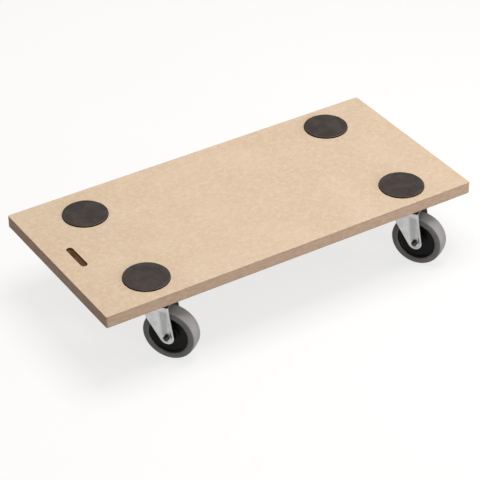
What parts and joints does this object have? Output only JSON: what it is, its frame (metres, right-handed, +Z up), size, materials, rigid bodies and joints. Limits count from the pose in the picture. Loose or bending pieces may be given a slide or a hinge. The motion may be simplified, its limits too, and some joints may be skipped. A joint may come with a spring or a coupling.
{
  "type": "furniture dolly",
  "caption": "Low furniture dolly: a flat fibreboard deck with round anti-slip pads and a strap slot, carried on swivel casters with grey rubber tyres.",
  "frame": {"origin": "on the floor under the middle of the deck", "axes": "+X along the deck's long side, away from the slot; +Y to the rear long side; +Z up"},
  "size_m": [0.59, 0.3174, 0.1205],
  "materials": {
    "mdf": "matt raw fibreboard",
    "pad_rubber": "matt",
    "zinc_steel": "bright zinc plate",
    "bearing_steel": "polished",
    "dark_steel": "dark oxide",
    "black_plastic": "satin moulded",
    "grey_tyre": "matt non-marking rubber"
  },
  "bodies": {
    "deck": {"deck_board": "mdf", "anti_slip_pad_front_left": "pad_rubber", "top_plate_front_left": "zinc_steel", "plate_screws_front_left": "zinc_steel", "kingpin_front_left": "zinc_steel", "race_cup_front_left": "zinc_steel", "anti_slip_pad_front_right": "pad_rubber", "top_plate_front_right": "zinc_steel", "plate_screws_front_right": "zinc_steel", "kingpin_front_right": "zinc_steel", "race_cup_front_right": "zinc_steel", "anti_slip_pad_rear_left": "pad_rubber", "top_plate_rear_left": "zinc_steel", "plate_screws_rear_left": "zinc_steel", "kingpin_rear_left": "zinc_steel", "race_cup_rear_left": "zinc_steel", "anti_slip_pad_rear_right": "pad_rubber", "top_plate_rear_right": "zinc_steel", "plate_screws_rear_right": "zinc_steel", "kingpin_rear_right": "zinc_steel", "race_cup_rear_right": "zinc_steel"},
    "swivel_front_left": {"fork_front_left": "zinc_steel", "swivel_balls_front_left": "bearing_steel", "axle_bolt_front_left": "dark_steel", "axle_nut_front_left": "dark_steel", "axle_sleeve_front_left": "bearing_steel"},
    "wheel_front_left": {"wheel_core_front_left": "black_plastic", "tyre_front_left": "grey_tyre"},
    "swivel_front_right": {"fork_front_right": "zinc_steel", "swivel_balls_front_right": "bearing_steel", "axle_bolt_front_right": "dark_steel", "axle_nut_front_right": "dark_steel", "axle_sleeve_front_right": "bearing_steel"},
    "wheel_front_right": {"wheel_core_front_right": "black_plastic", "tyre_front_right": "grey_tyre"},
    "swivel_rear_left": {"fork_rear_left": "zinc_steel", "swivel_balls_rear_left": "bearing_steel", "axle_bolt_rear_left": "dark_steel", "axle_nut_rear_left": "dark_steel", "axle_sleeve_rear_left": "bearing_steel"},
    "wheel_rear_left": {"wheel_core_rear_left": "black_plastic", "tyre_rear_left": "grey_tyre"},
    "swivel_rear_right": {"fork_rear_right": "zinc_steel", "swivel_balls_rear_right": "bearing_steel", "axle_bolt_rear_right": "dark_steel", "axle_nut_rear_right": "dark_steel", "axle_sleeve_rear_right": "bearing_steel"},
    "wheel_rear_right": {"wheel_core_rear_right": "black_plastic", "tyre_rear_right": "grey_tyre"}
  },
  "joints": [
    {"name": "swivel_front_left_turn", "type": "hinge", "parent": "deck", "child": "swivel_front_left", "pos_m": [-0.2065, -0.0913, 0.09], "axis": [0, 0, 1], "continuous": true},
    {"name": "wheel_front_left_roll", "type": "hinge", "parent": "swivel_front_left", "child": "wheel_front_left", "pos_m": [-0.18666, -0.11891, 0.0385], "axis": [0.8121, 0.5835, 0], "continuous": true},
    {"name": "swivel_front_right_turn", "type": "hinge", "parent": "deck", "child": "swivel_front_right", "pos_m": [0.2065, -0.0913, 0.09], "axis": [0, 0, 1], "continuous": true},
    {"name": "wheel_front_right_roll", "type": "hinge", "parent": "swivel_front_right", "child": "wheel_front_right", "pos_m": [0.22401, -0.12044, 0.0385], "axis": [0.8572, 0.515, 0], "continuous": true},
    {"name": "swivel_rear_left_turn", "type": "hinge", "parent": "deck", "child": "swivel_rear_left", "pos_m": [-0.2065, 0.0913, 0.09], "axis": [0, 0, 1], "continuous": true},
    {"name": "wheel_rear_left_roll", "type": "hinge", "parent": "swivel_rear_left", "child": "wheel_rear_left", "pos_m": [-0.18666, 0.11891, 0.0385], "axis": [-0.8121, 0.5835, 0], "continuous": true},
    {"name": "swivel_rear_right_turn", "type": "hinge", "parent": "deck", "child": "swivel_rear_right", "pos_m": [0.2065, 0.0913, 0.09], "axis": [0, 0, 1], "continuous": true},
    {"name": "wheel_rear_right_roll", "type": "hinge", "parent": "swivel_rear_right", "child": "wheel_rear_right", "pos_m": [0.22401, 0.12044, 0.0385], "axis": [-0.8572, 0.515, 0], "continuous": true}
  ]
}
